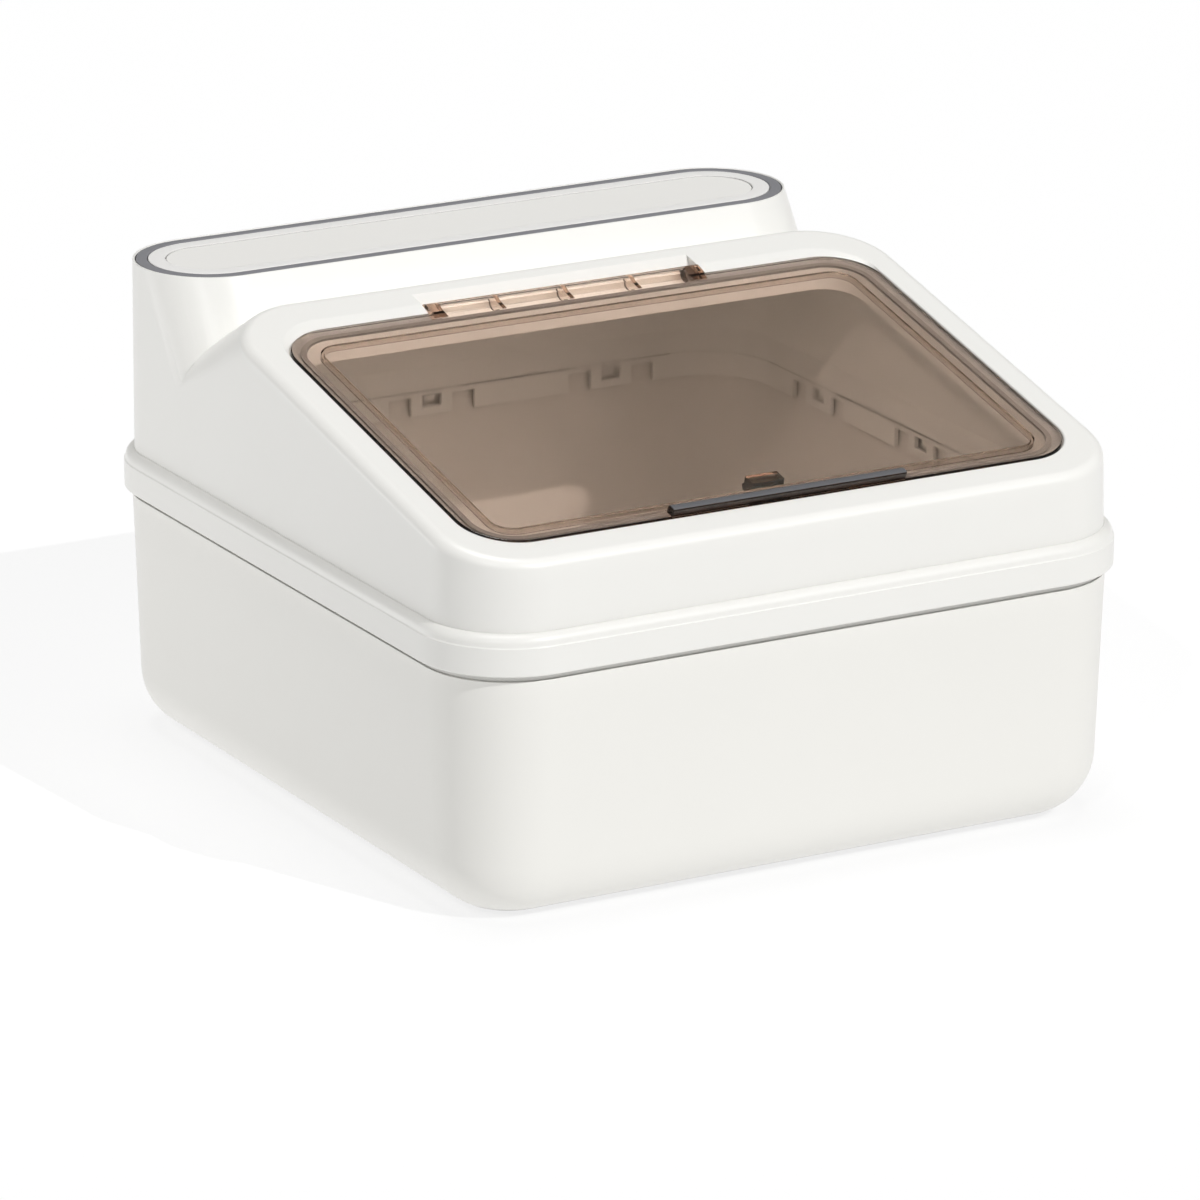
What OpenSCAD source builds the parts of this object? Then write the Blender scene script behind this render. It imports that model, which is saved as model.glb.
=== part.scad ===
// Rice bin with a sloping, see-through flip lid and a rear column closed by a push-in cap.
// Origin at the middle of the base, X across the width, front towards -Y, Z up.

/* [Overall size] */
// Width over the band of the cover
width = 300; // [285:1:320]
// Depth over the band of the cover
depth = 315.5; // [305:0.5:330]
// Height to the top of the rear column
height = 194; // [192:1:200]

/* [Bin] */
// Height of the bin's rim, hidden behind the band
bin_rim_z = 113.2; // [113:0.1:113.4]
// Wall of the bin
bin_wall = 2.4; // [2:0.1:2.6]
// Floor of the bin
bin_floor = 3.2; // [2.8:0.1:4]
// How far the bin's rim stands in from the face of the band
bin_step = 2.8; // [2.6:0.1:3]
// How much each side narrows from the rim down to the base
bin_draft = 2.9; // [1:0.1:5]
// Height of the open joint between the bin's shoulder and the band
joint_h = 2.7; // [1.5:0.1:3]
// How far the rim stands back above the shoulder
rim_back = 1.3; // [0.8:0.1:1.4]
// Radius of the rounded bottom edge
bottom_r = 25; // [18:1:30]
// Corner radius of the band, seen from above
corner_r = 38; // [36:1:42]

/* [Cover] */
// Wall of the cover
cover_wall = 2.4; // [2:0.1:2.6]
// Lower edge of the band
band_z = 101; // [98:0.5:103]
// Thickness of the band
band_wall = 2.1; // [1.8:0.1:2.3]
// Top of the band, where the cover's wall starts
band_top_z = 117; // [116.5:0.1:119]
// How far the band stands out from the cover's wall
band_out = 4.2; // [3.5:0.1:5]
// Draft of the cover's wall over its height
cover_draft = 0.9; // [0:0.1:1.5]

/* [Sloping face] */
// Angle of the sloping face
slope_angle = 12.7; // [11:0.1:14]
// Height where the sloping face would meet the front wall
slope_front_z = 143.3; // [140:0.1:146]
// Length of the sloping face, front edge to ridge
slope_len = 218.5; // [214:0.5:222]
// Rounding along the edges of the sloping face
edge_r = 5; // [4:0.5:7]
// Corner radius of the sloping face
slope_corner_r = 33; // [28:1:36]
// Height at the back wall where the fall behind the ridge ends
fall_z = 134; // [128:1:140]

/* [Rear column] */
// Half the depth of the column's rounded top
column_r = 30.8; // [29:0.1:32]
// Lean of the column's front, from upright
column_lean = 34; // [30:1:36]
// Thickness of the fine edge around the cap
column_edge = 1; // [0.8:0.1:1.4]
// Depth of the drying tray under its flange
tray_depth = 30; // [20:1:36]

/* [Flip lid] */
// Width of the lid
lid_w = 263; // [250:1:266]
// Front edge of the lid, measured up the slope
lid_front = 17; // [14:0.5:18]
// Back edge of the lid, measured up the slope
lid_back = 193; // [190:0.5:194]
// Corner radius of the lid
lid_corner_r = 22; // [16:1:28]
// Thickness of the lid's plate
lid_t = 2.2; // [2:0.1:2.4]
// Gap around the lid
lid_gap = 0.5; // [0.4:0.1:0.8]
// Length of the shallow ramp behind the lid
ramp_len = 7.3; // [5:0.1:8]
// Width of the ledge that the lid covers
ledge_w = 6.6; // [6:0.1:8]
// How far the lip around the opening reaches down
lip_depth = 13; // [9:0.5:15]

/* [Hinge] */
// Width of the hinge pocket
pocket_w = 124; // [110:1:130]
// Radius of the stub pins
pin_r = 1.8; // [1.6:0.05:1.9]
// Running clearance round each pin
pin_gap = 0.05; // [0.02:0.01:0.1]
// Outer radius of the knuckles
knuckle_r = 3.9; // [3.6:0.1:4]

/* [Snap joint] */
// Width of a snap tab
tab_w = 19; // [15:1:22]
// Free gap on each side of a tab
tab_gap = 10.5; // [8:0.5:11]
// Spacing of the tabs along the front and back
tab_pitch_x = 84; // [76:1:86]
// Spacing of the tabs along the sides
tab_pitch_y = 80; // [76:1:86]

/* [Hidden] */

white = "#edebe6";
cover_white = "#f3f1ec";
tea_brown = [0.45, 0.37, 0.31, 0.6];
seal_white = "#dcdcd8";
seal_grey = "#8f9095";
panel_white = "#e2e0dc";

e = 0.01;
half_w = width / 2;
half_d = depth / 2;

// Bin: half sizes at the rim, from which the sides narrow down to the base
rim_x = half_w - bin_step;
rim_y = half_d - bin_step;
rim_corner = corner_r - bin_step;

// Cover: half sizes at the band and at the top
cover_x = half_w - band_out;
cover_y = half_d - band_out;
top_x = cover_x - cover_draft;
top_y = cover_y - cover_draft;
cover_corner = corner_r - band_out;
shelf_z = band_top_z - 2.4;
skirt_out = bin_step + bin_wall + 1.0;
skirt_wall = 1.8;
skirt_z = band_z + 3.5;
window_z = 110.5;
window = [9, 5];
lug = [5, 0.5, 2.8];

// Sloping face: front of its own frame, and the opening in it
slope_y = -(cover_y - cover_draft / 2);
lid_len = lid_back - lid_front;
lid_mid = (lid_back + lid_front) / 2;
seal_gap = 0.4;
ledge_n = -(lid_t + 1.2);
frame_n = ledge_n - 2.4;
rebate_r = 0.9;
ramp_drop = 1.3;
rib_side = 11.7;
rib_front = 10.3;
rib_back = 12.2;
rib_wall = 1.5;
rib_n = -4.6;
front_lip_w = 102;
clip_w = 18;

// Hinge: pin axis in the frame of the sloping face
axis_v = lid_back + 4.4;
axis_n = -3.1;
pocket_v0 = lid_back - 3.6;
pocket_v1 = axis_v + 5.6;
pocket_n = -8.6;
pocket_side = 6;
pin_len = 4.2;
ear_w = 6;
knuckle_half = pocket_w / 2 - 0.6;
knuckle_pitch = 30.5;

// Rear column: the rounded top and the pieces stacked in its mouth
column_y = top_y - column_r;
column_x = top_x - column_r;
seat_z = height - 6;
mouth_r = column_r - column_edge - 0.3;
tray_r = column_r - 5;
tray_flange_t = 1.4;
cap_flange_t = 1.5;
cap_z = seat_z + tray_flange_t + 0.3;
cap_r = column_r - 6.1;
panel_r = cap_r - 7;
panel_recess = 1.2;

module outline(half_x, half_y, r) {
    square([2 * (half_x - r), 2 * half_y], center = true);
    square([2 * half_x, 2 * (half_y - r)], center = true);
    for (sx = [-1, 1], sy = [-1, 1])
        translate([sx * (half_x - r), sy * (half_y - r)])
            circle(r, $fn = 64);
}

module slab(half_x, half_y, r, z0, z1) {
    translate([0, 0, z0])
        linear_extrude(z1 - z0)
            outline(half_x, half_y, r);
}

// A slab at a distance inside the face of the band
module plan(inset, z0, z1) {
    slab(half_w - inset, half_d - inset, max(corner_r - inset, 2), z0, z1);
}

// Corner discs of a hull, coarse enough to stay light
module corner_discs(half_x, half_y, r, z) {
    for (sx = [-1, 1], sy = [-1, 1])
        translate([sx * (half_x - r), sy * (half_y - r), z])
            cylinder(r = r, h = e, $fn = 48);
}

module ring_corner(r, round) {
    rotate_extrude($fn = 40)
        translate([r, 0])
            circle(round, $fn = 32);
}

// Sweeps a profile round a rounded rectangle. Its x runs outwards from the middle of the
// corner's curve, and its y runs up.
module sweep(half_x, half_y, r) {
    for (turn = [0 : 3]) {
        run = turn % 2 == 0 ? half_x - r : half_y - r;
        reach = turn % 2 == 0 ? half_y - r : half_x - r;
        rotate(90 * turn) {
            translate([-run, reach, 0])
                rotate([90, 0, 90])
                    linear_extrude(2 * run)
                        children();
            translate([run, reach, 0])
                rotate_extrude(angle = 90, $fn = 96)
                    children();
        }
    }
}

// Half section of the bin's outside or inside: drafted wall, round bottom edge and flat floor
module bin_section(inset, lift) {
    lean = atan(bin_draft / (bin_rim_z - bottom_r));
    mid = rim_corner - bottom_r * cos(lean) - (bin_rim_z - bottom_r + bottom_r * sin(lean)) * tan(lean);
    round = bottom_r - inset;
    translate([mid, bottom_r + lift])
        circle(round, $fn = 96);
    polygon([[-e, bottom_r + lift - round], [mid, bottom_r + lift - round],
             [mid + round * cos(lean), bottom_r + lift - round * sin(lean)],
             [rim_corner - inset / cos(lean), bin_rim_z + lift], [-e, bin_rim_z + lift]]);
}

// Places a copy of each snap feature on all four walls: x along the wall, y pointing outwards
module on_each_wall(face_x, face_y) {
    for (side = [0, 180], i = [-1 : 1])
        rotate(side)
            translate([i * tab_pitch_x, face_y, 0])
                children();
    for (side = [90, -90], i = [-1 : 1])
        rotate(side)
            translate([i * tab_pitch_y, face_x, 0])
                children();
}

// The rim stands back above a shoulder, which leaves an open joint under the band
module rim_step() {
    translate([rim_corner - rim_back, band_z - joint_h])
        square([rim_back + 1, bin_rim_z]);
}

module bin() {
    foot_recess = 1;
    foot_w = 6;
    color(white) {
        difference() {
            union() {
                sweep(rim_x, rim_y, rim_corner)
                    intersection() {
                        difference() {
                            bin_section(0, 0);
                            bin_section(bin_wall, bin_floor - bin_wall);
                            rim_step();
                        }
                        square([rim_corner, bin_rim_z]);
                    }
                translate([0, 0, bin_floor / 2])
                    cube([2 * (rim_x - rim_corner), 2 * (rim_y - rim_corner), bin_floor], center = true);
            }
            slab(rim_x - bin_draft - bottom_r - foot_w, rim_y - bin_draft - bottom_r - foot_w,
                 12, -e, foot_recess);
        }
        on_each_wall(rim_x - bin_wall - 0.1, rim_y - bin_wall - 0.1)
            translate([-lug[0] / 2, -lug[1], window_z - lug[2] / 2])
                cube([lug[0], lug[1] + 0.8, lug[2]]);
    }
}

module rim_seal() {
    color(seal_white)
        difference() {
            plan(bin_step + rim_back, bin_rim_z + 0.3, shelf_z);
            plan(bin_step + bin_wall, bin_rim_z, shelf_z + e);
        }
}

module on_slope() {
    translate([0, slope_y, slope_front_z])
        rotate([slope_angle, 0, 0])
            children();
}

// The wedge under the sloping face, with the fall behind its ridge
module wedge_form(inset) {
    mid_x = (cover_x + top_x) / 2;
    hull() {
        on_slope()
            for (sx = [-1, 1], v = [slope_corner_r, slope_len - slope_corner_r])
                translate([sx * (mid_x - slope_corner_r), v, -edge_r])
                    ring_corner(slope_corner_r - edge_r, edge_r - inset);
        corner_discs(cover_x - inset, cover_y - inset, cover_corner - inset, band_top_z - 0.5);
        corner_discs(mid_x - inset, cover_y - 0.2 - inset, cover_corner - inset, fall_z - inset);
    }
}

// The rear column, whose rounded front leans forward as it goes down
module column_form(inset, z_top) {
    drop = height - band_top_z;
    front_y = column_y - drop * tan(column_lean);
    hull()
        for (sx = [-1, 1]) {
            translate([sx * column_x, column_y, z_top])
                cylinder(r = column_r - inset, h = e, $fn = 64);
            translate([sx * (cover_x - column_r), front_y, band_top_z - 0.5])
                cylinder(r = column_r - inset, h = e, $fn = 64);
            translate([sx * (cover_x - cover_corner), cover_y - cover_corner, band_top_z - 0.5])
                cylinder(r = cover_corner - inset, h = e, $fn = 64);
        }
}

module stadium(r, z0, z1) {
    translate([0, column_y, z0])
        linear_extrude(z1 - z0) {
            square([2 * column_x, 2 * r], center = true);
            for (sx = [-1, 1])
                translate([sx * column_x, 0])
                    circle(r, $fn = 96);
        }
}

// A slab in the frame of the sloping face, at a distance inside the lid's edge
module lid_plan(inset, n0, n1) {
    translate([0, lid_mid, 0])
        slab(lid_w / 2 - inset, lid_len / 2 - inset, max(lid_corner_r - inset, 3), n0, n1);
}

// A slab inside the rib under the lid, which stands closer to the lid's front than to its back
module rib_plan(inset, n0, n1) {
    translate([0, lid_mid + (rib_front - rib_back) / 2, 0])
        slab(lid_w / 2 - rib_side - inset, (lid_len - rib_front - rib_back) / 2 - inset,
             lid_corner_r - rib_back - inset, n0, n1);
}

// Extrudes a profile drawn in slope coordinates (v up the slope, n off the face) along X
module across(x0, x1) {
    translate([x0, 0, 0])
        rotate([90, 0, 90])
            linear_extrude(x1 - x0)
                children();
}

// Band over the bin's rim, with the shelf that carries the cover's wall
module band() {
    round = 4;
    step = 0.4;
    sweep(half_w, half_d, corner_r)
        difference() {
            union() {
                polygon([[corner_r - 8, band_z], [corner_r - 0.6, band_z], [corner_r, band_z + 0.8],
                         [corner_r, band_top_z - 5], [corner_r - step, band_top_z - 4.6],
                         [corner_r - step - 0.2, band_top_z - round], [corner_r - 4, band_top_z],
                         [corner_r - 8, band_top_z]]);
                translate([corner_r - step - 0.2 - round, band_top_z - round])
                    circle(round, $fn = 64);
            }
            translate([corner_r - 8 - e, band_z - e])
                square([8 - band_wall + e, shelf_z - band_z + e]);
        }
}

// Inner skirt, cut into segments by the gaps beside each snap tab
module snap_skirt() {
    difference() {
        sweep(half_w, half_d, corner_r)
            translate([corner_r - skirt_out - skirt_wall, skirt_z])
                square([skirt_wall, shelf_z - skirt_z + 1]);
        on_each_wall(half_w - skirt_out - skirt_wall / 2, half_d - skirt_out - skirt_wall / 2)
            for (side = [-1, 1])
                translate([side * (tab_w + tab_gap) / 2, 0, skirt_z + 3.5])
                    cube([tab_gap, 4 * skirt_wall, 9], center = true);
        on_each_wall(half_w - skirt_out - skirt_wall / 2, half_d - skirt_out - skirt_wall / 2)
            translate([0, 0, window_z])
                cube([window[0], 4 * skirt_wall, window[1]], center = true);
    }
}

module hinge_pocket_cut() {
    across(-pocket_w / 2, pocket_w / 2)
        polygon([[pocket_v0, pocket_n], [pocket_v1, pocket_n], [pocket_v1, -4.6],
                 [pocket_v1 + 6.6, 1], [pocket_v0, 1]]);
    for (sx = [-1, 1])
        translate([sx * (pocket_w / 2 + (pin_len + 0.3) / 2 - 0.5), axis_v, axis_n])
            rotate([0, 90, 0])
                cylinder(r = pin_r + pin_gap, h = pin_len + 1.3, center = true, $fn = 64);
}

// Frame round the opening: ledge, lip and the walls of the hinge pocket
module opening_frame() {
    lid_plan(-lid_gap - 2.4, frame_n, -1);
    lid_plan(ledge_w - 2.2, -lip_depth, frame_n + e);
    across(-pocket_w / 2 - pocket_side, pocket_w / 2 + pocket_side)
        polygon([[pocket_v0 - 3, pocket_n - 2.2], [pocket_v1 + 2.2, pocket_n - 2.2],
                 [pocket_v1 + 9.5, -4], [pocket_v1 + 9.5, -1], [pocket_v0 - 3, -1]]);
}

// Cuts a shallow ramp into the frame behind the lid, which leaves its back edge room to swing
module ramp_cut() {
    half_x = lid_w / 2 + lid_gap;
    half_v = lid_len / 2 + lid_gap;
    r = lid_corner_r + lid_gap;
    translate([0, lid_mid, 0])
        hull() {
            slab(half_x - e, half_v - e, r, -ramp_drop, -ramp_drop + e);
            translate([0, ramp_len / 2, 0])
                slab(half_x + e, half_v + ramp_len / 2, r + 2, 0, 0.5);
        }
}

// Cuts the opening, the rebate that the lid lies in, and the round edge of the rebate
module opening_cut() {
    edge = lid_corner_r + lid_gap;
    lid_plan(-lid_gap, ledge_n, 2);
    lid_plan(ledge_w, -lip_depth - 1, ledge_n + e);
    translate([0, lid_mid, 0])
        sweep(lid_w / 2 + lid_gap, lid_len / 2 + lid_gap, edge)
            difference() {
                translate([edge - 1, -rebate_r])
                    square([rebate_r + 1, rebate_r + 1]);
                translate([edge + rebate_r, -rebate_r])
                    circle(rebate_r, $fn = 48);
            }
    ramp_cut();
    hinge_pocket_cut();
}

module cover() {
    color(cover_white) {
        difference() {
            union() {
                difference() {
                    union() {
                        wedge_form(0);
                        column_form(0, height - e);
                    }
                    wedge_form(cover_wall);
                    column_form(cover_wall, height);
                }
                on_slope()
                    opening_frame();
            }
            on_slope()
                opening_cut();
            stadium(column_r - column_edge, seat_z, height + 1);
            plan(skirt_out + skirt_wall, band_z, band_top_z + e);
        }
        band();
        snap_skirt();
    }
}

module lid_seal() {
    color(seal_white)
        on_slope()
            difference() {
                lid_plan(ledge_w - 2.6, ledge_n, -lid_t - seal_gap);
                lid_plan(ledge_w - 0.4, ledge_n - e, 0);
            }
}

// Knuckle profile: the tab's plate rising over the pin, closed down to a full round where solid
module knuckle(solid) {
    difference() {
        union() {
            polygon([[lid_back - 4, -lid_t], [lid_back - 4, 0], [lid_back - 3.6, 0],
                     [axis_v - 0.4, axis_n + knuckle_r], [axis_v, axis_n + knuckle_r - 2]]);
            translate([axis_v, axis_n])
                circle(knuckle_r, $fn = 64);
            if (solid)
                polygon([[lid_back - 3, -lid_t - 0.8], [lid_back - 3.6, -lid_t],
                         [axis_v, axis_n + 2], [axis_v, axis_n - knuckle_r + 0.4]]);
        }
        if (!solid) {
            translate([axis_v, axis_n])
                circle(knuckle_r - 1.6, $fn = 64);
            translate([axis_v - 6, axis_n - 6])
                square([12, 6]);
        }
    }
}

module front_lip() {
    across(-front_lip_w / 2, front_lip_w / 2)
        polygon([[lid_front + 0.6, -1], [lid_front - 0.6, 2.9], [lid_front, 3.8],
                 [lid_front + 2.8, 3.8], [lid_front + 4.2, 2.4], [lid_front + 5, -1]]);
}

// Small clip moulded under the lid, open towards the hinge
module under_clip() {
    across(-clip_w / 2, clip_w / 2)
        polygon([[lid_front + 16, -lid_t + e], [lid_front + 16, -7.4], [lid_front + 17, -8.2],
                 [lid_front + 24.5, -8.2], [lid_front + 25.5, -6.2], [lid_front + 18.5, -6],
                 [lid_front + 18.5, -lid_t + e]]);
}

// Flat plate of the lid, with its top edge rounded over
module lid_plate() {
    round = 0.9;
    translate([0, lid_mid, 0]) {
        sweep(lid_w / 2, lid_len / 2, lid_corner_r) {
            translate([0, -lid_t])
                square([lid_corner_r, lid_t - round]);
            translate([0, -lid_t])
                square([lid_corner_r - round, lid_t]);
            translate([lid_corner_r - round, -round])
                circle(round, $fn = 32);
        }
        translate([0, 0, -lid_t / 2])
            cube([lid_w - 2 * lid_corner_r, lid_len - 2 * lid_corner_r, lid_t], center = true);
    }
}

module flip_lid() {
    color(tea_brown)
        on_slope() {
            difference() {
                lid_plate();
                translate([-lid_w / 2, lid_back - 1.4, -lid_t - e])
                    cube([lid_w, 2, lid_t - 1.1]);
            }
            difference() {
                rib_plan(0, rib_n, -lid_t + e);
                rib_plan(rib_wall, rib_n - e, 0);
            }
            across(-knuckle_half, knuckle_half)
                knuckle(false);
            for (sx = [-1, 1]) {
                across(sx * (knuckle_half - ear_w / 2) - ear_w / 2, sx * (knuckle_half - ear_w / 2) + ear_w / 2)
                    knuckle(true);
                translate([sx * (knuckle_half + pin_len / 2 - 0.5), axis_v, axis_n])
                    rotate([0, 90, 0])
                        cylinder(r = pin_r, h = pin_len + 1, center = true, $fn = 64);
            }
            for (i = [-1 : 1])
                across(i * knuckle_pitch - 0.9, i * knuckle_pitch + 0.9)
                    knuckle(true);
            front_lip();
            under_clip();
        }
}

module drying_tray() {
    floor_z = seat_z - tray_depth;
    slot_pitch = 22;
    color(white)
        difference() {
            union() {
                stadium(mouth_r, seat_z, seat_z + tray_flange_t);
                stadium(tray_r, floor_z, seat_z + e);
            }
            stadium(tray_r - 1.8, floor_z + 1.8, height);
            for (i = [-4 : 4])
                translate([i * slot_pitch, column_y, floor_z])
                    cube([3, 30, 6], center = true);
        }
}

module column_cap() {
    rib = 3.5;
    color(cover_white)
        difference() {
            union() {
                stadium(mouth_r, cap_z, cap_z + cap_flange_t);
                stadium(cap_r, cap_z, height - 0.5);
                stadium(cap_r - 0.5, height - 0.5 - e, height);
                difference() {
                    stadium(tray_r - 2.2, cap_z - rib, cap_z + e);
                    stadium(tray_r - 3.8, cap_z - rib - e, cap_z);
                }
            }
            stadium(panel_r, height - panel_recess, height + 1);
        }
}

module cap_seal() {
    color(seal_grey)
        difference() {
            union() {
                stadium(mouth_r, cap_z + cap_flange_t, height - 0.5);
                stadium(mouth_r - 0.4, height - 0.5 - e, height);
            }
            stadium(cap_r + 0.2, cap_z, height + 1);
        }
}

module cap_panel() {
    color(panel_white)
        stadium(panel_r - 0.3, height - panel_recess, height - 0.4);
}

bin();
rim_seal();
cover();
lid_seal();
flip_lid();
drying_tray();
column_cap();
cap_seal();
cap_panel();
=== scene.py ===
# Looks for a white rice bin with a sloping cover, a brown flip lid and a capped column behind it.
# Lengths are written in millimetres and turned into metres where a mesh is made.
import math

import bmesh
import bpy
from mathutils import Matrix, Vector


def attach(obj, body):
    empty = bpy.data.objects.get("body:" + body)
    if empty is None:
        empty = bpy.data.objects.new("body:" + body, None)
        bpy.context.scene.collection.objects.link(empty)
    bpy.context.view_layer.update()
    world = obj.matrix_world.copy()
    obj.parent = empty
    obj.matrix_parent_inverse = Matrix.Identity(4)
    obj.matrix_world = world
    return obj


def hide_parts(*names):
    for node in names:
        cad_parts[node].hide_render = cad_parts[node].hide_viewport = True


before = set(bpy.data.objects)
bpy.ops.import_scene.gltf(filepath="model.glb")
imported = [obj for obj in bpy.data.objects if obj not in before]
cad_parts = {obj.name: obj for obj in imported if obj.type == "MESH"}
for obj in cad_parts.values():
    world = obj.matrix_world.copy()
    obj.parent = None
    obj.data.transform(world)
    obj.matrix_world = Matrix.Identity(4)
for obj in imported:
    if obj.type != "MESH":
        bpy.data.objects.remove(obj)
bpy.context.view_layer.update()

# Bin. One thin moulding in white plastic with a drafted wall, a round bottom edge and a recessed
# base, so that it stands on a flat ring. Above a shoulder its rim stands back behind the band.
# The inside is painted a slightly darker, duller white than the outside, as painted shade.
MM = 0.001
BAND_X, BAND_Y, BAND_CORNER = 150.0, 157.75, 38.0
RIM_Z, RIM_CORNER, RIM_BACK, RIM_R = 113.2, 35.2, 1.3, 0.45
SHOULDER_Z, SHOULDER_R = 98.3, 0.35
BIN_WALL, BIN_FLOOR, BIN_DRAFT, BOTTOM_R = 2.4, 3.2, 2.9, 25.0
RECESS, RECESS_R = 1.0, 12.0
TIGHTEST_CORNER = 1.5
INSIDE, INSIDE_FLOOR_BELOW = 1, 30.0


def level(half_x, half_y, r, z, steps=20):
    """A rounded rectangle at one height, as points running round it."""
    points = []
    for quarter, (sx, sy) in enumerate([(1, 1), (-1, 1), (-1, -1), (1, -1)]):
        for i in range(steps + 1):
            a = math.radians(90 * (quarter + i / steps))
            x, y = sx * (half_x - r) + r * math.cos(a), sy * (half_y - r) + r * math.sin(a)
            points.append(Vector((x, y, z)))
    return points


def wall_level(reach, z, r=None):
    """A level of the bin or the band. reach is counted outwards from the middle of its corners."""
    inset = BAND_CORNER - reach
    return level(BAND_X - inset, BAND_Y - inset, max(reach, TIGHTEST_CORNER) if r is None else r, z)


def mesh_piece(name, bm):
    """Turns what has been built into an object of the scene."""
    mesh = bpy.data.meshes.new(name)
    bm.to_mesh(mesh)
    bm.free()
    piece = bpy.data.objects.new(name, mesh)
    bpy.context.scene.collection.objects.link(piece)
    return piece


def skin(name, levels, ring=False):
    """Joins levels into a closed mesh. A ring's last level meets its first, and other ends are capped."""
    bm = bmesh.new()
    rows = [[bm.verts.new(p * MM) for p in points] for points in levels]
    count = len(rows[0])
    for low, high in list(zip(rows, rows[1:])) + ([(rows[-1], rows[0])] if ring else []):
        for i in range(count):
            j = (i + 1) % count
            bm.faces.new((low[i], low[j], high[j], high[i]))
    if not ring:
        bm.faces.new(rows[0][::-1])
        bm.faces.new(rows[-1])
    bmesh.ops.remove_doubles(bm, verts=bm.verts[:], dist=1e-6)
    bmesh.ops.recalc_face_normals(bm, faces=bm.faces[:])
    return mesh_piece(name, bm)


def smooth_moulding(piece, sharp_over=32):
    """Shades curves smooth and flats flat, with a crease where faces meet at more than the angle."""
    bm = bmesh.new()
    bm.from_mesh(piece.data)
    for face in bm.faces:
        face.smooth = True
    for edge in bm.edges:
        bend = edge.calc_face_angle(0) if len(edge.link_faces) == 2 else 0
        edge.smooth = bend <= math.radians(sharp_over)
    bm.to_mesh(piece.data)
    bm.free()
    even = piece.modifiers.new("even_shading", "WEIGHTED_NORMAL")
    even.keep_sharp = True
    even.weight = 100


def arc(mid_x, mid_z, r, start, end, steps):
    """Points of an arc in a section, angles in degrees from the outward direction."""
    turn = [math.radians(start + (end - start) * i / steps) for i in range(steps + 1)]
    return [(mid_x + r * math.cos(a), mid_z + r * math.sin(a)) for a in turn]


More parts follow.
